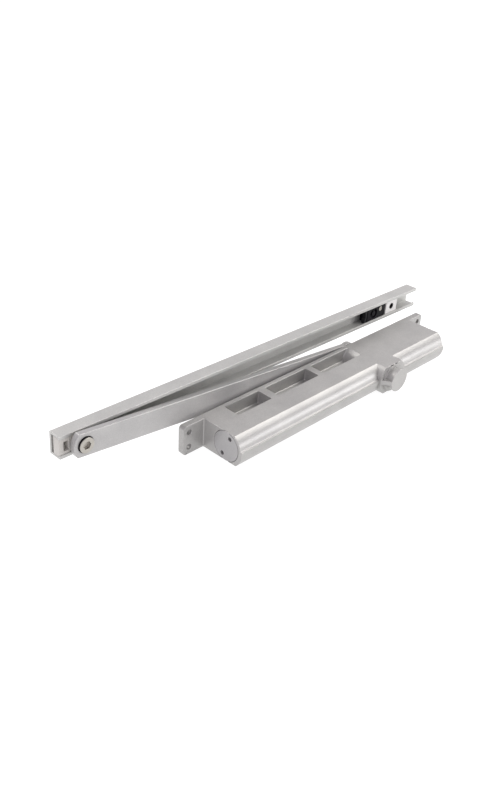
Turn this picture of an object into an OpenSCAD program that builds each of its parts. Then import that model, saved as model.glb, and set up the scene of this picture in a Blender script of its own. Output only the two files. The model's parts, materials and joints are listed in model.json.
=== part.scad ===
// Concealed overhead door closer with a slide arm and track.
// X runs along the body, Y is the depth (0 is the plane of the two fixing lugs,
// the arm and track are on its +Y side) and Z is the thickness.
// The origin is the centre of the four lug holes.

/* [Body] */
// Length of the body between its end faces
body_l = 330; // [320:1:345]
// Thickness of the body, which fits a rebated door edge
body_t = 32; // [32:0.5:34]
// Depth of the rounded nose below the lug plane
nose_d = 56.5; // [56.5:0.1:57.5]
// Radius of the rounded nose above the parting ledge
nose_r = 19; // [18.5:0.1:19.5]
// Radius of the fuller nose below the parting ledge
nose_low_r = 21; // [20.5:0.1:21.8]
// Height of the parting ledge above the middle of the thickness
ledge_z = 2.5; // [2:0.1:3.5]

/* [Lugs] */
// Projection of each fixing lug past the end face
lug_l = 26; // [25:0.5:30]
// Thickness of the fixing lugs
lug_t = 7; // [6:0.1:8]
// Outer corner radius of the lugs
lug_corner = 4; // [2:0.5:5]
// Distance from the end face to the lug holes
lug_hole_in = 18.5; // [17:0.5:19]
// Distance between the two holes of a lug
lug_pitch = 16; // [14:0.5:18]
// Radius of a lug hole
lug_hole_r = 3; // [2.5:0.1:3.3]

/* [Pockets] */
// Distance from the lug plane to the pockets
pocket_back = 4.8; // [4:0.1:6]
// Width of the pockets across the body
pocket_w = 18.8; // [16:0.1:18.8]
// Thickness of the web left between upper and lower pockets
pocket_web = 5; // [4:0.5:8]
// Start of each pocket from the left end face
pocket_x = [29.3, 85.7, 155.5];
// End of the first two pockets from the left end face
pocket_end = [76.2, 147.3];
// Radius of the spindle housing that closes the third pocket
housing_r = 19.2; // [18.5:0.1:20]

/* [Hydraulics] */
// Radius of the piston bore
bore_r = 11.5; // [11.3:0.1:11.6]
// Gear module of the pinion and the rack
gear_m = 1.25; // [1.25:0.01:1.26]
// Number of pinion teeth
gear_n = 10; // [10:1:10]
// Wire diameter of the main spring
wire_d = 3.4; // [3:0.1:3.4]
// Turns of the main spring, closed end turns included
spring_turns = 24; // [20:1:26]

/* [Spindle boss] */
// Distance of the spindle from the middle of the body
spindle_x = 64; // [60:0.5:66]
// Radius of the boss that carries the spindle
boss_r = 21; // [20:0.1:21.5]
// Depth of the boss face below the lug plane
boss_d = 60.5; // [60:0.1:61]
// Radius of the bearing neck in front of the boss
neck_r = 12.3; // [12:0.1:12.6]
// Depth of the whole body at the front disc
disc_d = 70; // [69:0.5:72]

/* [Arm] */
// Distance between the spindle and the slider pivot
arm_l = 359.7; // [350:0.1:365]
// Angle of the arm above the body's line at rest
arm_tilt = 6.15; // [5:0.05:8]
// Gap between the lug plane and the arm
arm_gap = 3; // [3:0.1:3.2]
// Thickness of the arm
arm_t = 6; // [6:0.1:6.2]
// Radius of the arm's hub
arm_hub_r = 14.5; // [14:0.1:16]
// Half width of the arm's bar where it leaves the hub
arm_root_w = 12.9; // [12:0.1:13.5]
// Half width of the arm's bar at the slider end
arm_end_w = 11.6; // [11.5:0.1:12.5]

/* [Track] */
// Length of the track
track_l = 514; // [500:1:530]
// Width of the track
track_w = 22.5; // [22.2:0.1:22.6]
// Depth of the track
track_d = 14.4; // [14.4:0.1:15]
// Angle of the track below the body's line at rest
track_tilt = 1.05; // [0:0.05:2]
// Distance from the track's left end to the slider pivot at rest
pivot_in = 21; // [20.5:0.1:22]

/* [Hidden] */
$fn = 64;
eps = 0.01;                       // overlap that keeps unions and cuts clean
half_l = body_l / 2;
half_t = body_t / 2;
axis_y = nose_r - nose_d;         // the piston bore shares the nose's centre
crease = axis_y - sqrt(nose_r * nose_r - half_t * half_t);
ledge_d = sqrt(nose_low_r * nose_low_r - ledge_z * ledge_z) - axis_y;
// end plugs
flange_r = half_t - 0.1;
flange_seat_r = half_t + 0.35;    // its seat breaks out at the top and bottom
flange_t = 1.6;
thread_r = 14;
plug_l = 15;
// spindle and its bearings
disc_r = neck_r + 0.9;
gusset_t = 5;
journal_f = 5;
journal_r = 6;
bush_r = 8;
gland_r = 12;
gland_d = 6;
seal_r = 9.5;
run = 0.03;                       // radial running clearance
// pinion and rack, 25 degree pressure angle, shortened teeth
pitch_r = gear_m * gear_n / 2;
tip_r = pitch_r + 0.8 * gear_m;
root_r = pitch_r - gear_m;
gear_pa = 25;
base_r = pitch_r * cos(gear_pa);
gear_play = 0.12;                 // thinning of each tooth at the pitch line
gear_y = [axis_y - 9, axis_y + 10.4];  // past the rack's teeth at the back
// piston, at rest at the right end of its stroke
piston_r = bore_r - 0.04;
slot_x = [spindle_x - 9, spindle_x + 23.5];
piston_x = [spindle_x - 25, spindle_x + 54];
// spring, between its seat and the piston
seat_x = -half_l + plug_l;
spring_x = [seat_x + 3, piston_x[0]];
spring_r = bore_r - 0.5 - wire_d / 2;
// regulating valves
valve_x = [104, 122, 140];
valve_r = 3;
valve_d = 16;
valve_ring_y = -6;
// arm, in its own frame: u from the spindle to the pivot, v across
arm_y = [arm_gap, arm_gap + arm_t];
arm_end_r = 16.5;
arm_end_u = arm_l - 4.4;
head_r = 7.45;                    // pivot screw's head, which stands out of the arm
head_y = [0.9, 1.9];
eye_r = 7.9;                      // counterbore for the washer under that head
head_seat = 2.25;
hub_seat = 2.4;                   // counterbore under the spindle washer
square_s = 9;
// track, in its own frame: u from the pivot, v across, y as in the row
track_y = arm_y[1] + 2.5;
track_end = track_y + track_d;
web_t = 2.4;
flange_w = 2.2;
lip_w = 1.3;
lip_d = 2;
slot_w = track_w / 2 - flange_w;  // half width inside the track
mouth_w = slot_w - lip_w;         // half width of its mouth
web_y = track_end - web_t;
slider_u = 9.3;
block_u = 447.3;                  // right mounting block, from the pivot
block_l = 21;
sleeve_r = 3.6;
buffer_u = [401.5, 434.3];
pad_t = 3.5;
track_hole_r = 2.6;
track_hole_u = -13.8;

/* shared shapes */
// Cylinder along Y from y0 to y1
module cyl_y(r, y0, y1) translate([0, y0, 0]) rotate([-90, 0, 0]) cylinder(h = y1 - y0, r = r);
// Cone along Y from radius r0 at y0 to r1 at y1
module cone_y(r0, r1, y0, y1)
    translate([0, y0, 0]) rotate([-90, 0, 0]) cylinder(h = y1 - y0, r1 = r0, r2 = r1);
// Cylinder along X from x0 to x1
module cyl_x(r, x0, x1) translate([x0, 0, 0]) rotate([0, 90, 0]) cylinder(h = x1 - x0, r = r);
// Ring along Y with an outer and an inner radius
module ring_y(ro, ri, y0, y1) difference() {
    cyl_y(ro, y0, y1);
    cyl_y(ri, y0 - 1, y1 + 1);
}
// Box from its low corner to its high corner
module span(a, b) translate(a) cube(b - a);
// Outline drawn in X and Z, given thickness from y0 to y1
module plate_y(y0, y1) translate([0, y1, 0]) rotate([90, 0, 0]) linear_extrude(y1 - y0) children();
// Outline drawn in Y and Z, given length from x0 to x1
module bar_x(x0, x1) translate([x0, 0, 0]) rotate([90, 0, 90]) linear_extrude(x1 - x0) children();
// Rectangle with round corners, from its low corner to its high corner
module round_rect(a, b, r) {
    translate([a[0] + r, a[1]]) square([b[0] - a[0] - 2 * r, b[1] - a[1]]);
    translate([a[0], a[1] + r]) square([b[0] - a[0], b[1] - a[1] - 2 * r]);
    for (x = [a[0] + r, b[0] - r], z = [a[1] + r, b[1] - r]) translate([x, z]) circle(r);
}
// Hexagonal socket along Y, across flats af
module hex_y(af, y0, y1)
    translate([0, y0, 0]) rotate([-90, 0, 0]) cylinder(h = y1 - y0, r = af / sqrt(3), $fn = 6);
// O-ring about the X axis
module o_ring_x(r, wire, x) translate([x, 0, 0]) rotate([0, 90, 0])
    rotate_extrude() translate([r, 0]) circle(wire);
// Places for children: piston axis, spindle axis, arm frame and track frame
module on_bore() translate([0, axis_y, 0]) children();
module on_spindle() translate([spindle_x, 0, 0]) children();
module in_arm() on_spindle() rotate([0, 180 + arm_tilt, 0]) children();
module on_pivot() in_arm() translate([arm_l, 0, 0]) children();
pivot_x = spindle_x - arm_l * cos(arm_tilt);
pivot_z = arm_l * sin(arm_tilt);
module in_track() translate([pivot_x, 0, pivot_z]) rotate([0, track_tilt, 0]) children();

/* body */
module body_outline() {
    translate([crease, -half_t]) square([-crease, body_t]);
    intersection() {
        translate([axis_y, 0]) circle(nose_r);
        translate([-nose_d - 1, -half_t]) square([nose_d, body_t]);
    }
    intersection() {
        translate([axis_y, 0]) circle(nose_low_r);
        translate([-ledge_d - 1, -half_t]) square([ledge_d, half_t + ledge_z]);
    }
}
module boss() on_spindle() {
    intersection() {
        cyl_y(boss_r, -boss_d, axis_y);
        span([-30, -boss_d - 1, -half_t], [30, 0, half_t]);
    }
    cyl_y(boss_r - 5, -boss_d - 1.6, -boss_d + 1);
    cyl_y(neck_r, -disc_d + 1.2, -boss_d + 1);
    cyl_y(disc_r, -disc_d, -disc_d + 1.2);
    // gussets on both sides that carry the ledge out to the front disc
    plate_gusset();
}
module plate_gusset() translate([0, 0, ledge_z - gusset_t]) linear_extrude(gusset_t) polygon([
    [-boss_r, -nose_d], [-boss_r, -ledge_d], [-disc_r, -disc_d],
    [disc_r, -disc_d], [boss_r, -ledge_d], [boss_r, -nose_d]]);
module lugs() plate_y(-lug_t, 0) difference() {
    round_rect([-half_l - lug_l, -half_t], [half_l + lug_l, half_t], lug_corner);
    for (x = [-1, 1] * (half_l + lug_hole_in), z = [-1, 1] * lug_pitch / 2)
        translate([x, z]) circle(lug_hole_r);
}
// One casting pocket, open at the top, between two places along the body
module pocket(x0, x1) translate([-half_l, 0, pocket_web / 2]) linear_extrude(body_t)
    round_rect([x0, -pocket_back - pocket_w], [x1, -pocket_back], 1.8);
module pockets() {
    for (i = [0, 1]) pocket(pocket_x[i], pocket_end[i]);
    difference() {
        pocket(pocket_x[2], half_l + spindle_x);
        on_spindle() cyl_y(housing_r, -60, 1);
    }
}
module body_casting() color("silver") difference() {
    union() {
        bar_x(-half_l, half_l) body_outline();
        boss();
        lugs();
    }
    pockets();
    mirror([0, 0, 1]) pockets();
    // piston bore, plug threads and plug seats
    on_bore() {
        cyl_x(bore_r, -half_l - 1, half_l + 1);
        for (s = [0, 180]) rotate([0, s, 0]) {
            cyl_x(thread_r, -half_l - 1, -half_l + plug_l);
            cyl_x(flange_seat_r, -half_l - 1, -half_l + flange_t);
        }
    }
    // spindle bore, blind at the front disc
    on_spindle() {
        cyl_y(bush_r, -disc_d + 4, 1);
        cyl_y(seal_r, -12.6, 1);
        cyl_y(gland_r, -gland_d, 1);
    }
    // valve bores and their oil ways into the piston bore
    for (x = valve_x) translate([x, 0, 0]) {
        cyl_y(valve_r, -valve_d, 1);
        cyl_y(1.2, axis_y, -valve_d + 1);
    }
}

/* end plugs */
module end_plug() difference() {
    union() {
        cyl_x(flange_r, -half_l, -half_l + flange_t - 0.05);
        cyl_x(thread_r - 0.03, -half_l + 1, -half_l + plug_l - 0.05);
    }
    // groove of the seal, hollow inside and the two spanner holes
    difference() {
        cyl_x(thread_r + 1, -half_l + 10, -half_l + 12.4);
        cyl_x(thread_r - 1.8, -half_l + 9, -half_l + 14);
    }
    cyl_x(8, -half_l + 8, -half_l + plug_l + 1);
    for (s = [-1, 1]) translate([0, s * -4.6, s * 9.7]) cyl_x(2.2, -half_l - 1, -half_l + 5);
}
module end_plug_left() color("gainsboro") on_bore() end_plug();
module end_plug_right() color("gainsboro") on_bore() rotate([0, 0, 180]) end_plug();
module plug_seals() color("dimgray") on_bore()
    for (s = [-1, 1]) o_ring_x(thread_r - 0.92, 0.86, s * (half_l - 11.2));

/* spindle bearings and seal */
module bush_front() color("darkgoldenrod") on_spindle()
    ring_y(bush_r - 0.01, journal_f, -disc_d + 4.1, -54);
module bush_rear() color("darkgoldenrod") on_spindle()
    ring_y(bush_r - 0.01, journal_r, -25, -13);
module shaft_seal() color("dimgray") on_spindle() difference() {
    ring_y(seal_r - 0.01, journal_r + 0.02, -12.5, -7);
    ring_y(seal_r - 1.1, journal_r + 1.2, -13, -9.5);
}
module gland_nut() color("gainsboro") on_spindle() difference() {
    ring_y(gland_r - 0.03, journal_r + 0.3, -gland_d + 0.05, -0.2);
    for (s = [-1, 1]) translate([s * 9.2, 0, 0]) cyl_y(1.25, -3.5, 1);
}

/* regulating valves: threaded, with a seal groove, a needle and a driving slot */
module valve() difference() {
    union() {
        cyl_y(valve_r - run, -9, -1);
        cyl_y(2.1, -13, -8);
        cone_y(0.6, 2.1, -15.4, -13 + eps);
    }
    difference() {
        cyl_y(valve_r + 1, valve_ring_y - 0.8, valve_ring_y + 0.8);
        cyl_y(1.9, valve_ring_y - 2, valve_ring_y + 2);
    }
    span([-3.5, -2.4, -0.5], [3.5, 0, 0.5]);
}
module closing_valve() color("gainsboro") translate([valve_x[0], 0, 0]) valve();
module latching_valve() color("gainsboro") translate([valve_x[1], 0, 0]) valve();
module backcheck_valve() color("gainsboro") translate([valve_x[2], 0, 0]) valve();
module valve_seals() color("dimgray") for (x = valve_x) translate([x, valve_ring_y, 0])
    rotate([90, 0, 0]) rotate_extrude() translate([2.45, 0]) circle(0.5);

/* spring and its seat against the left plug */
module spring_seat() color("gainsboro") on_bore() difference() {
    union() {
        cyl_x(bore_r - 0.3, seat_x, spring_x[0]);
        cyl_x(spring_r - wire_d / 2 - 0.4, spring_x[0] - 1, spring_x[0] + 6);
    }
    cyl_x(4, seat_x - 1, spring_x[0] + 7);
}
// Axial place of the wire's centre at a number of turns: the end turns lie closed
end_pitch = wire_d + 0.1;
function coil_x(t) = let (n = spring_turns,
        a = spring_x[0] + wire_d / 2 + 0.05, b = spring_x[1] - wire_d / 2 - 0.05,
        pitch = (b - a - 2 * end_pitch) / (n - 2))
    t < 1 ? a + t * end_pitch
    : t > n - 1 ? b - (n - t) * end_pitch
    : a + end_pitch + (t - 1) * pitch;
module main_spring() color("slategray") on_bore() {
    per_turn = 18;
    sides = 8;
    steps = spring_turns * per_turn;
    points = [for (i = [0:steps], j = [0:sides - 1]) let (
        turn = 360 * i / per_turn, way = 360 * j / sides,
        r = spring_r + wire_d / 2 * cos(way))
        [coil_x(i / per_turn) + wire_d / 2 * sin(way), r * cos(turn), r * sin(turn)]];
    walls = [for (i = [0:steps - 1], j = [0:sides - 1]) let (k = (j + 1) % sides)
        [i * sides + j, i * sides + k, (i + 1) * sides + k, (i + 1) * sides + j]];
    first = [for (j = [sides - 1:-1:0]) j];
    last = [for (j = [0:sides - 1]) steps * sides + j];
    polyhedron(points, concat(walls, [first], [last]));
}

/* piston with the rack cut into its window */
// Rack tooth spaces, drawn in X and Z about the spindle
module rack_space() {
    half_gap = (PI * gear_m / 2 + gear_play) / 2;
    slope = tan(gear_pa);
    z0 = -pitch_r + 1.2 * gear_m - 0.2;
    z1 = -pitch_r - gear_m;
    polygon([[-half_gap - (z0 + pitch_r) * slope, z0], [half_gap + (z0 + pitch_r) * slope, z0],
        [half_gap + (z1 + pitch_r) * slope, z1], [-half_gap - (z1 + pitch_r) * slope, z1]]);
}
module rack_piston() color("lightsteelblue") difference() {
    on_bore() union() {
        cyl_x(piston_r, piston_x[0], piston_x[1]);
        cyl_x(spring_r - wire_d / 2 - 0.4, piston_x[0] - 6, piston_x[0] + 1);
    }
    // window for the pinion, above the rack's tips
    span([slot_x[0], axis_y - 20, -pitch_r + 0.8 * gear_m], [slot_x[1], axis_y + 20, 7.6]);
    // tooth spaces, in step with the pinion
    intersection() {
        span([slot_x[0], axis_y - 20, -20], [slot_x[1], axis_y + 20, 0]);
        plate_y(axis_y - 20, axis_y + 20) for (i = [-3:6])
            translate([spindle_x + i * PI * gear_m, 0]) rack_space();
    }
    on_bore() {
        // grooves of the two seals
        for (x = [piston_x[0] + 6, piston_x[1] - 8]) difference() {
            cyl_x(piston_r + 1, x - 1, x + 1);
            cyl_x(piston_r - 1.6, x - 2, x + 2);
        }
        // way for oil through the right head, past the check valve
        cyl_x(1.6, slot_x[1] - 1, piston_x[1] - 8);
        cyl_x(2.7, piston_x[1] - 10.5, piston_x[1] - 3);
        cyl_x(3.2, piston_x[1] - 4, piston_x[1] + 1);
        // and through the left head into the spring chamber
        cyl_x(1.6, piston_x[0] - 8, slot_x[0] + 1);
    }
}
module piston_seals() color("dimgray") on_bore()
    for (x = [piston_x[0] + 6, piston_x[1] - 8]) o_ring_x(piston_r - 0.8, 0.78, x);
module check_ball() color("gray") on_bore() translate([piston_x[1] - 8, 0, 0]) sphere(2.3);
module check_retainer() color("gainsboro") on_bore() difference() {
    cyl_x(3.17, piston_x[1] - 4, piston_x[1]);
    cyl_x(1.2, piston_x[1] - 5, piston_x[1] + 1);
    span([piston_x[1] - 1, -4, -0.5], [piston_x[1] + 1, 4, 0.5]);
}

/* spindle with the pinion cut on it */
function involute(r) = let (a = acos(base_r / r)) tan(a) * 180 / PI - a;
// Angle from a tooth's middle to its flank at a radius
tooth_half = (PI * gear_m / 2 - gear_play) / 2 / pitch_r * 180 / PI;
function flank(r) = tooth_half + involute(pitch_r) - involute(max(r, base_r));
flank_steps = 8;
function at(r, a) = [r * cos(a), r * sin(a)];
module pinion_outline() {
    low = max(base_r, root_r);
    circle(root_r);
    for (i = [0:gear_n - 1]) let (mid = -90 + i * 360 / gear_n) polygon(concat(
        [at(root_r - 1, mid - flank(low))],
        [for (k = [0:flank_steps]) let (r = low + (tip_r - low) * k / flank_steps)
            at(r, mid - flank(r))],
        [for (k = [flank_steps:-1:0]) let (r = low + (tip_r - low) * k / flank_steps)
            at(r, mid + flank(r))],
        [at(root_r - 1, mid + flank(low))]));
}
module spindle() color("gray") on_spindle() difference() {
    union() {
        cyl_y(journal_f - run, -disc_d + 4.5, gear_y[0] + eps);
        plate_y(gear_y[0], gear_y[1]) pinion_outline();
        cyl_y(journal_r - run, gear_y[1] - eps, -0.1);
        rotate([0, arm_tilt, 0])
            span([-square_s / 2, -0.5, -square_s / 2],
                [square_s / 2, arm_y[1] - hub_seat - 0.15, square_s / 2]);
    }
    cyl_y(3, -8, 10);
}

/* arm and its fasteners */
module arm_bar() {
    far = arm_l + 40;
    far_w = arm_root_w - (arm_root_w - arm_end_w) * far / arm_l;
    cyl_y(arm_hub_r, arm_y[0], arm_y[1]);
    intersection() {
        plate_y(arm_y[0], arm_y[1]) polygon([
            [0, arm_root_w], [far, far_w], [far, -far_w], [0, -arm_root_w]]);
        union() {
            span([-1, arm_y[0] - 1, -20], [arm_end_u + 6, arm_y[1] + 1, 20]);
            translate([arm_end_u, 0, 0]) cyl_y(arm_end_r, arm_y[0] - 1, arm_y[1] + 1);
        }
    }
}
module main_arm() color("silver") in_arm() difference() {
    arm_bar();
    span([-square_s / 2 - 0.05, 0, -square_s / 2 - 0.05],
        [square_s / 2 + 0.05, 20, square_s / 2 + 0.05]);
    cyl_y(9.5, arm_y[1] - hub_seat, 20);
    translate([arm_l, 0, 0]) {
        cyl_y(5.5, 0, 20);
        cyl_y(eye_r, 0, arm_y[0] + head_seat);
    }
}
module arm_washer() color("gainsboro") on_spindle()
    ring_y(9.3, 3.1, arm_y[1] - hub_seat, arm_y[1] - hub_seat + 1.2);
module arm_screw() color("gainsboro") on_spindle() difference() {
    union() {
        cyl_y(2.97, -7, arm_y[1] - 1);
        cyl_y(5, arm_y[1] - hub_seat + 1.2, arm_y[1] + 0.7);
    }
    hex_y(4, arm_y[1] - 0.9, arm_y[1] + 2);
}
module pivot_bush() color("darkgoldenrod") on_pivot() {
    ring_y(5.49, 4, arm_y[0] + head_seat, arm_y[1] + 0.1);
    ring_y(7.5, 4, arm_y[1], arm_y[1] + 0.7);
}
// Nylon collar that keeps the pivot screw's head off the arm
module pivot_washer() color("dimgray") on_pivot()
    ring_y(eye_r - 0.05, 5.4, head_y[1] + 0.1, arm_y[0] + head_seat);

/* slider in the track */
module slide_block() color("wheat") in_track() difference() {
    union() {
        span([-slider_u, track_y + lip_d + 0.2, -slot_w + 0.2],
            [slider_u, web_y - 0.3, slot_w - 0.2]);
        span([-slider_u, track_y + 0.4, -mouth_w + 0.2],
            [slider_u, track_y + lip_d + 1, mouth_w - 0.2]);
        cyl_y(7, arm_y[1] + 0.85, track_y + 1);
    }
    cyl_y(5.5, 0, web_y - 2.3);
    // grease grooves across the running faces
    for (u = [-7, 7], s = [-1, 1])
        span([u - 1, track_y + lip_d, s * slot_w - 0.6], [u + 1, 40, s * slot_w + 0.6]);
}
module slide_insert() color("goldenrod") in_track()
    ring_y(5.49, 4, arm_y[1] + 1.1, web_y - 2.4);
module pivot_screw() color("gainsboro") in_track() difference() {
    union() {
        cyl_y(head_r, head_y[0], head_y[1]);
        cyl_y(5.2, head_y[0] + eps, arm_y[0] + head_seat - 0.1);
        cyl_y(4 - run, arm_y[0], web_y - 3.4);
    }
    hex_y(7, 0, head_y[1] + 1.8);
}

/* track and what is fixed in it */
module rail_outline() difference() {
    translate([track_y, -track_w / 2]) square([track_d, track_w]);
    translate([track_y + lip_d, -slot_w]) square([track_d - lip_d - web_t, 2 * slot_w]);
    translate([track_y - 1, -mouth_w]) square([lip_d + 2, 2 * mouth_w]);
}
module track_rail() color("silver") in_track() difference() {
    bar_x(-pivot_in, track_l - pivot_in) rail_outline();
    for (u = [track_hole_u, block_u]) translate([u, 0, 0]) cyl_y(track_hole_r, web_y - 1, 40);
}
// Block that fills the track's section between two places along it
module track_block(u0, u1, front = 0.5) {
    span([u0, track_y + lip_d + 0.1, -slot_w + 0.1], [u1, web_y - 0.05, slot_w - 0.1]);
    span([u0, track_y + front, -mouth_w + 0.1], [u1, track_y + lip_d + 1, mouth_w - 0.1]);
}
module mount_block_left() color("ivory") in_track() difference() {
    track_block(-pivot_in, -slider_u - 0.5);
    translate([track_hole_u, 0, 0]) {
        cyl_y(track_hole_r, 0, 40);
        span([-2.6, 0, -4.7], [2.6, track_y + 5.5, 4.7]);
    }
    // step behind the block's outer end
    span([-pivot_in - 1, web_y - 3, -20], [-pivot_in + 3, 40, 20]);
}
module mount_block_right() color("ivory") in_track() difference() {
    track_block(block_u - block_l / 2, block_u + block_l / 2, 1.5);
    translate([block_u, 0, 0]) cyl_y(sleeve_r, 0, 40);
}
// Steel sleeve that takes the fixing screw's load through the nylon block
module mount_sleeve() color("dimgray") in_track() translate([block_u, 0, 0])
    ring_y(sleeve_r - 0.02, track_hole_r, track_y + 1.6, web_y - 0.05);
module buffer_body() color("black") in_track() difference() {
    track_block(buffer_u[0], buffer_u[1], 1.2);
    // shallow round recess and the clamping screw's hole
    translate([buffer_u[0] + 11.6, 0, 0]) difference() {
        cyl_y(6, 0, track_y + 3.4);
        cyl_y(3.2, 0, track_y + 3.4);
    }
    translate([buffer_u[1] - 8.1, 0, 2.6]) {
        cyl_y(3, 0, track_y + 3);
        cyl_y(1.6, 0, 40);
    }
}
module buffer_pad() color("dimgray") in_track() difference() {
    track_block(buffer_u[0] - pad_t, buffer_u[0] - 0.05, 1.8);
    span([buffer_u[0] - pad_t - 1, 0, -2.5], [buffer_u[0] - pad_t + 1.2, 40, 2.5]);
    // shallower than the body behind it
    span([buffer_u[0] - pad_t - 1, track_y + 6.5, -20], [buffer_u[0] + 1, 40, 20]);
}
module buffer_screw() color("white") in_track() translate([buffer_u[1] - 8.1, 0, 2.6]) difference() {
    union() {
        cyl_y(2.8, track_y + 1.6, track_y + 3);
        cyl_y(1.57, track_y + 2, web_y - 0.1);
    }
    span([-3.5, 0, -0.45], [3.5, track_y + 2.3, 0.45]);
}

body_casting();
end_plug_left();
end_plug_right();
plug_seals();
bush_front();
bush_rear();
shaft_seal();
gland_nut();
valve_seals();
closing_valve();
latching_valve();
backcheck_valve();
spring_seat();
main_spring();
rack_piston();
piston_seals();
check_ball();
check_retainer();
spindle();
main_arm();
arm_washer();
arm_screw();
pivot_bush();
pivot_washer();
slide_block();
slide_insert();
pivot_screw();
track_rail();
mount_block_left();
mount_block_right();
mount_sleeve();
buffer_body();
buffer_pad();
buffer_screw();
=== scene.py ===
import json
import math

import bmesh
import bpy
from mathutils import Matrix, Vector


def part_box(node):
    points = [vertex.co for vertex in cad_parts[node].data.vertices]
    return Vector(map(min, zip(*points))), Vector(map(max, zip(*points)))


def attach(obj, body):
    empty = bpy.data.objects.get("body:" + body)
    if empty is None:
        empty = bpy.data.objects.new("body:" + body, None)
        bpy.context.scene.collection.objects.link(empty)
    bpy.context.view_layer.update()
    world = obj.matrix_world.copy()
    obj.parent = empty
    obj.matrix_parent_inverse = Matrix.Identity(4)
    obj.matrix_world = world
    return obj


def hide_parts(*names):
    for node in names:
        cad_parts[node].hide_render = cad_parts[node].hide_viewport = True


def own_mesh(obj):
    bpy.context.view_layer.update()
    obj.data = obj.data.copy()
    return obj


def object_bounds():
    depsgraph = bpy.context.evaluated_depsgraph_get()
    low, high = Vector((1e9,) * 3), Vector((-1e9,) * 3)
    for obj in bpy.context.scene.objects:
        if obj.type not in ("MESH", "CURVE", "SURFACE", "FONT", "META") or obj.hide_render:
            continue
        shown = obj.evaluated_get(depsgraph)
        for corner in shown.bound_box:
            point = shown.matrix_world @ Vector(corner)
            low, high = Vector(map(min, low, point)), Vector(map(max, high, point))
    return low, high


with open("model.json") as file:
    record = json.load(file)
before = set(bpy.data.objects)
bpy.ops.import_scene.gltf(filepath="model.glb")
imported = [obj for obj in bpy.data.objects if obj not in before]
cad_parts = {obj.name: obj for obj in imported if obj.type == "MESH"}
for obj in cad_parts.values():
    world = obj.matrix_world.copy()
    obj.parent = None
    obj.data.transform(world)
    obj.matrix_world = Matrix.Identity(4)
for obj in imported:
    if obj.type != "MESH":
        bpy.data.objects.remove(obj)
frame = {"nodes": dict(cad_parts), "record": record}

CAD_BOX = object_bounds()
MM = 0.001


# ---------------------------------------------------------------- materials

def new_material(name):
    mat = bpy.data.materials.new(name)
    mat.use_nodes = True
    nodes = mat.node_tree.nodes
    return mat, nodes, mat.node_tree.links, nodes["Principled BSDF"]


def noise(nodes, links, coord, scale, detail=3.0, roughness=0.5):
    tex = nodes.new("ShaderNodeTexNoise")
    tex.inputs["Scale"].default_value = scale
    tex.inputs["Detail"].default_value = detail
    tex.inputs["Roughness"].default_value = roughness
    links.new(coord, tex.inputs["Vector"])
    return tex.outputs["Fac"]


def ramp(nodes, links, fac, stops):
    """A colour ramp: stops are (position, grey or colour)."""
    node = nodes.new("ShaderNodeValToRGB")
    while len(node.color_ramp.elements) < len(stops):
        node.color_ramp.elements.new(0.5)
    for element, (position, value) in zip(node.color_ramp.elements, stops):
        element.position = position
        colour = (value, value, value) if isinstance(value, float) else value
        element.color = (*colour, 1.0)
    links.new(fac, node.inputs["Fac"])
    return node.outputs["Color"]


def object_coord(nodes, links):
    coord = nodes.new("ShaderNodeTexCoord")
    mapping = nodes.new("ShaderNodeMapping")
    links.new(coord.outputs["Object"], mapping.inputs["Vector"])
    return mapping.outputs["Vector"]


def bump(nodes, links, height, strength, distance):
    node = nodes.new("ShaderNodeBump")
    node.inputs["Strength"].default_value = strength
    node.inputs["Distance"].default_value = distance
    links.new(height, node.inputs["Height"])
    return node.outputs["Normal"]


def satin_metal(name, dark, light, metallic=0.4, rough=(0.31, 0.41), grain=1400.0,
                peel=0.00002):
    """Fine metallic paint: a cloudy base, small bright flakes and a faint orange peel."""
    mat, nodes, links, shader = new_material(name)
    coord = object_coord(nodes, links)
    cloud = noise(nodes, links, coord, 38.0, 4.0, 0.6)
    flakes = noise(nodes, links, coord, grain, 2.0, 0.7)
    mix = nodes.new("ShaderNodeMix")
    mix.data_type = "RGBA"
    mix.blend_type = "OVERLAY"
    mix.inputs["Factor"].default_value = 0.16
    links.new(ramp(nodes, links, cloud, [(0.3, dark), (0.7, light)]), mix.inputs[6])
    links.new(ramp(nodes, links, flakes, [(0.35, 0.25), (0.65, 0.85)]), mix.inputs[7])
    links.new(mix.outputs[2], shader.inputs["Base Color"])
    links.new(ramp(nodes, links, flakes, [(0.3, rough[0]), (0.7, rough[1])]),
              shader.inputs["Roughness"])
    shader.inputs["Metallic"].default_value = metallic
    links.new(bump(nodes, links, noise(nodes, links, coord, 900.0, 3.0), 0.35, peel),
              shader.inputs["Normal"])
    return mat


def plain_steel(name, colour, rough=0.3):
    """Plated or ground steel: fine mottling in colour, roughness and bump."""
    mat, nodes, links, shader = new_material(name)
    coord = object_coord(nodes, links)
    streaks = noise(nodes, links, coord, 1600.0, 3.0)
    dark = tuple(c * 0.86 for c in colour)
    links.new(ramp(nodes, links, streaks, [(0.3, dark), (0.7, colour)]),
              shader.inputs["Base Color"])
    links.new(ramp(nodes, links, streaks, [(0.3, rough - 0.05), (0.7, rough + 0.07)]),
              shader.inputs["Roughness"])
    shader.inputs["Metallic"].default_value = 1.0
    links.new(bump(nodes, links, streaks, 0.2, 0.00002), shader.inputs["Normal"])
    return mat


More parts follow.
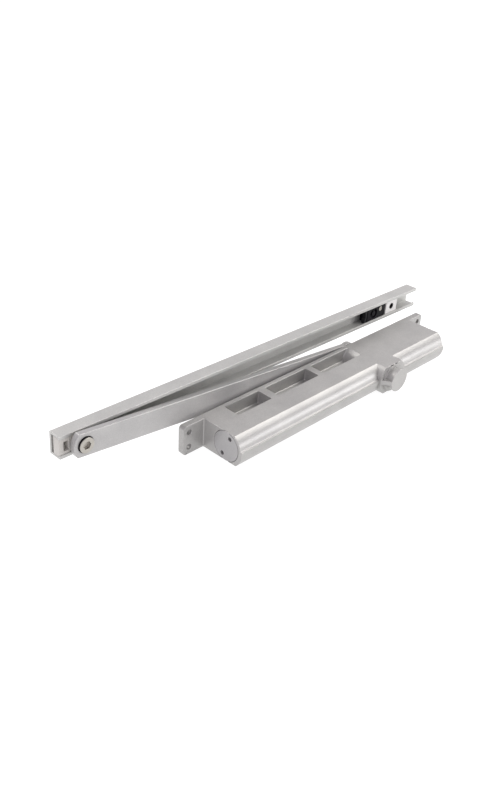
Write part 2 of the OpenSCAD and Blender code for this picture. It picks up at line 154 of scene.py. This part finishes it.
def moulded(name, dark, light, rough=(0.42, 0.55), grain=700.0, depth=0.00003,
            specular=0.5):
    """Moulded plastic or rubber: faint mottling and a fine eroded grain."""
    mat, nodes, links, shader = new_material(name)
    coord = object_coord(nodes, links)
    cloud = noise(nodes, links, coord, 90.0, 4.0)
    fine = noise(nodes, links, coord, grain, 3.0, 0.6)
    links.new(ramp(nodes, links, cloud, [(0.3, dark), (0.7, light)]), shader.inputs["Base Color"])
    links.new(ramp(nodes, links, fine, [(0.3, rough[0]), (0.7, rough[1])]),
              shader.inputs["Roughness"])
    links.new(bump(nodes, links, fine, 0.3, depth), shader.inputs["Normal"])
    shader.inputs["Specular IOR Level"].default_value = specular
    return mat


MATERIALS = {
    "body_paint": satin_metal("satin_body_paint", (0.36, 0.355, 0.345), (0.42, 0.415, 0.40)),
    "plug_paint": satin_metal("satin_plug_paint", (0.34, 0.335, 0.335), (0.39, 0.385, 0.38)),
    "arm_paint": satin_metal("satin_arm_paint", (0.38, 0.375, 0.37), (0.44, 0.435, 0.425)),
    "track_paint": satin_metal("satin_track_anodised", (0.44, 0.44, 0.425), (0.50, 0.50, 0.48)),
    "seal_rubber": moulded("nitrile_rubber", (0.012, 0.012, 0.013), (0.03, 0.03, 0.032),
                           (0.5, 0.7), specular=0.2),
    "bronze": plain_steel("sintered_bronze", (0.45, 0.28, 0.12), 0.4),
    "brass": plain_steel("turned_brass", (0.62, 0.42, 0.16), 0.28),
    "zinc_steel": plain_steel("zinc_plate", (0.62, 0.63, 0.65), 0.3),
    "spring_steel": plain_steel("oiled_spring_wire", (0.18, 0.19, 0.21), 0.34),
    "ground_steel": plain_steel("ground_steel", (0.42, 0.43, 0.44), 0.22),
    # near-black steel for the sleeve in the right mount block's screw hole: its darkness is
    # partly the steel's own colour and partly painted shade of the deep hole
    "black_steel": plain_steel("dark_steel_and_painted_hole_shade", (0.03, 0.03, 0.033), 0.42),
    "nickel_screw": plain_steel("satin_nickel", (0.47, 0.45, 0.41), 0.36),
    "cream_nylon": moulded("cream_nylon", (0.47, 0.455, 0.42), (0.54, 0.525, 0.49)),
    "white_nylon": moulded("white_nylon", (0.66, 0.65, 0.63), (0.72, 0.71, 0.69)),
    "black_nylon": moulded("black_nylon", (0.002, 0.002, 0.003), (0.006, 0.005, 0.008),
                           (0.42, 0.58), specular=0.14),
}


# ---------------------------------------------------------------- geometry

BODY_OF = {node: body
           for body, members in frame["record"]["behaviour"]["bodies"].items()
           for node in members}
SLOT_OF = {part["node"]: part["material_slot"] for part in frame["record"]["subparts"]}

spindle_low, spindle_high = (Vector(corner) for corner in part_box("spindle"))
# around the spindle boss, in front of this depth, small curved faces meet and edges stay fine
BOSS = Vector(((spindle_low.x + spindle_high.x) / 2, -45 * MM, 0))
BOSS_REACH = 24 * MM
BOSS_EDGE = 0.2 * MM
WELD = 0.002 * MM                     # joins the vertices that the CAD mesh repeats
FLAT = math.radians(0.5)              # faces closer than this count as one
FACE_WEIGHT = 80                      # how far large faces lead the shading


def stand_in(node, name):
    """A copy of a CAD node's mesh that rides, takes its slot and replaces it."""
    piece = bpy.data.objects.new(name, frame["nodes"][node].data.copy())
    bpy.context.scene.collection.objects.link(piece)
    piece.data.materials.clear()
    piece.data.materials.append(MATERIALS[SLOT_OF[node]])
    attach(piece, BODY_OF[node])
    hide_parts(node)
    return piece


def softened(node, edge, fillet, segments=3, angle=28.0):
    """A copy of a CAD node, with outer edges rounded by edge and inner corners by fillet."""
    piece = stand_in(node, node + "_finished")
    mesh = bmesh.new()
    mesh.from_mesh(piece.data)
    bmesh.ops.remove_doubles(mesh, verts=mesh.verts, dist=WELD)
    bmesh.ops.dissolve_limit(mesh, angle_limit=FLAT, verts=mesh.verts, edges=mesh.edges)
    weight = mesh.edges.layers.float.new("bevel_weight_edge")
    widest = max(edge, fillet)
    for line in mesh.edges:
        if len(line.link_faces) == 2 and line.calc_face_angle(0.0) > math.radians(angle):
            width = edge if line.is_convex else fillet
            middle = (line.verts[0].co + line.verts[1].co) / 2
            on_boss = abs(middle.x - BOSS.x) < BOSS_REACH and middle.y < BOSS.y
            if node == "body_casting" and on_boss:
                width = min(width, BOSS_EDGE)
            line[weight] = width / widest
    mesh.to_mesh(piece.data)
    mesh.free()
    bevel = piece.modifiers.new("edges", "BEVEL")
    bevel.width = widest
    bevel.segments = segments
    bevel.limit_method = "WEIGHT"
    bevel.use_clamp_overlap = False
    bevel.miter_outer = "MITER_ARC"
    for polygon in piece.data.polygons:
        polygon.use_smooth = True
    normals = piece.modifiers.new("normals", "WEIGHTED_NORMAL")
    normals.keep_sharp = True
    normals.weight = FACE_WEIGHT


# outer edge and inner corner of each finished piece, in millimetres
FINISH = {
    "body_casting": (0.45, 1.1),
    "end_plug_left": (0.3, 0.2),
    "end_plug_right": (0.3, 0.2),
    "gland_nut": (0.3, 0.15),
    "main_arm": (0.5, 0.25),
    "arm_washer": (0.2, 0.1),
    "arm_screw": (0.3, 0.15),
    "track_rail": (0.35, 0.3),
    "mount_block_left": (0.35, 0.3),
    "mount_block_right": (0.35, 0.3),
    "slide_block": (0.35, 0.2),
    "buffer_body": (0.45, 0.3),
    "buffer_pad": (0.3, 0.2),
    "buffer_screw": (0.2, 0.1),
    "pivot_screw": (0.25, 0.15),
    "pivot_washer": (0.15, 0.1),
}


def compressed_spring():
    """A copy of the main spring that rides with its body, with a mesh of its own."""
    spring = stand_in("main_spring", "main_spring_coil")
    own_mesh(spring)


for name, source in frame["nodes"].items():
    if name == "main_spring":
        compressed_spring()
    elif name in FINISH:
        edge, fillet = FINISH[name]
        softened(name, edge * MM, fillet * MM)
    else:
        for slot in source.material_slots:
            slot.material = MATERIALS[SLOT_OF[name]]


# ---------------------------------------------------------------- stage

FLOOR_Z = CAD_BOX[0][2]
floor_mesh = bpy.data.meshes.new("floor")
REACH = 60.0
floor_mesh.from_pydata([(x, y, FLOOR_Z) for x, y in
                        ((-REACH, -REACH), (REACH, -REACH), (REACH, REACH), (-REACH, REACH))],
                       [], [(0, 1, 2, 3)])
floor = bpy.data.objects.new("floor", floor_mesh)
bpy.context.scene.collection.objects.link(floor)
floor_mat, nodes, links, shader = new_material("pale_floor")
shader.inputs["Base Color"].default_value = (0.25, 0.25, 0.25, 1)
shader.inputs["Roughness"].default_value = 0.9
shader.inputs["Emission Color"].default_value = (1, 1, 1, 1)
shader.inputs["Emission Strength"].default_value = 0.88
floor.data.materials.append(floor_mat)

world = bpy.data.worlds.new("studio")
bpy.context.scene.world = world
world.use_nodes = True
sky = world.node_tree.nodes["Background"]
sky.inputs["Color"].default_value = (0.97, 0.94, 1.0, 1)
sky.inputs["Strength"].default_value = 0.64


def softbox(name, place, target, size, power, colour=(1, 1, 1)):
    light = bpy.data.lights.new(name, "AREA")
    light.shape = "RECTANGLE"
    light.size, light.size_y = size
    light.energy = power
    light.color = colour
    lamp = bpy.data.objects.new(name, light)
    lamp.location = place
    lamp.rotation_euler = (Vector(target) - Vector(place)).to_track_quat("-Z", "Y").to_euler()
    bpy.context.scene.collection.objects.link(lamp)


WARM = (1.0, 0.985, 0.95)
softbox("key", (0.95, -0.38, 1.12), (0, 0, 0), (1.3, 1.0), 16, WARM)
softbox("back", (-0.35, 0.95, 1.05), (0, 0, 0.02), (1.2, 0.5), 8, WARM)
softbox("left", (-1.2, -0.35, 0.55), (0, 0, 0), (0.7, 0.7), 3, (0.96, 0.9, 1.0))
softbox("front", (0.95, -1.2, 0.12), (0, 0, 0), (0.9, 0.45), 7, (0.98, 0.98, 1.0))

bpy.context.scene.view_settings.view_transform = "Standard"


# ---------------------------------------------------------------- camera

AZIMUTH, ELEVATION, ROLL = (math.radians(a) for a in (-47.189, 30.969, 3.562))
SENSOR = 36                           # millimetres, both ways
FOCAL = 894.055 * SENSOR / 787        # a focal length in pixels of the 787 pixel high frame
SHIFT_RIGHT, SHIFT_UP, DISTANCE = -67.856 * MM, -20.611 * MM, 963.575 * MM

back = Vector((math.sin(AZIMUTH) * math.cos(ELEVATION),
               -math.cos(AZIMUTH) * math.cos(ELEVATION), math.sin(ELEVATION)))
level = back.cross(Vector((0, 0, 1))).normalized() * -1
upright = back.cross(level)
right = level * math.cos(ROLL) + upright * math.sin(ROLL)
up = upright * math.cos(ROLL) - level * math.sin(ROLL)
camera_data = bpy.data.cameras.new("camera")
camera_data.sensor_fit = "VERTICAL"
camera_data.sensor_height = SENSOR
camera_data.sensor_width = SENSOR
camera_data.lens = FOCAL
camera = bpy.data.objects.new("camera", camera_data)
place = right * SHIFT_RIGHT + up * SHIFT_UP + back * DISTANCE
camera.matrix_world = Matrix((
    (right.x, up.x, back.x, place.x),
    (right.y, up.y, back.y, place.y),
    (right.z, up.z, back.z, place.z),
    (0, 0, 0, 1)))
bpy.context.scene.collection.objects.link(camera)
bpy.context.scene.camera = camera
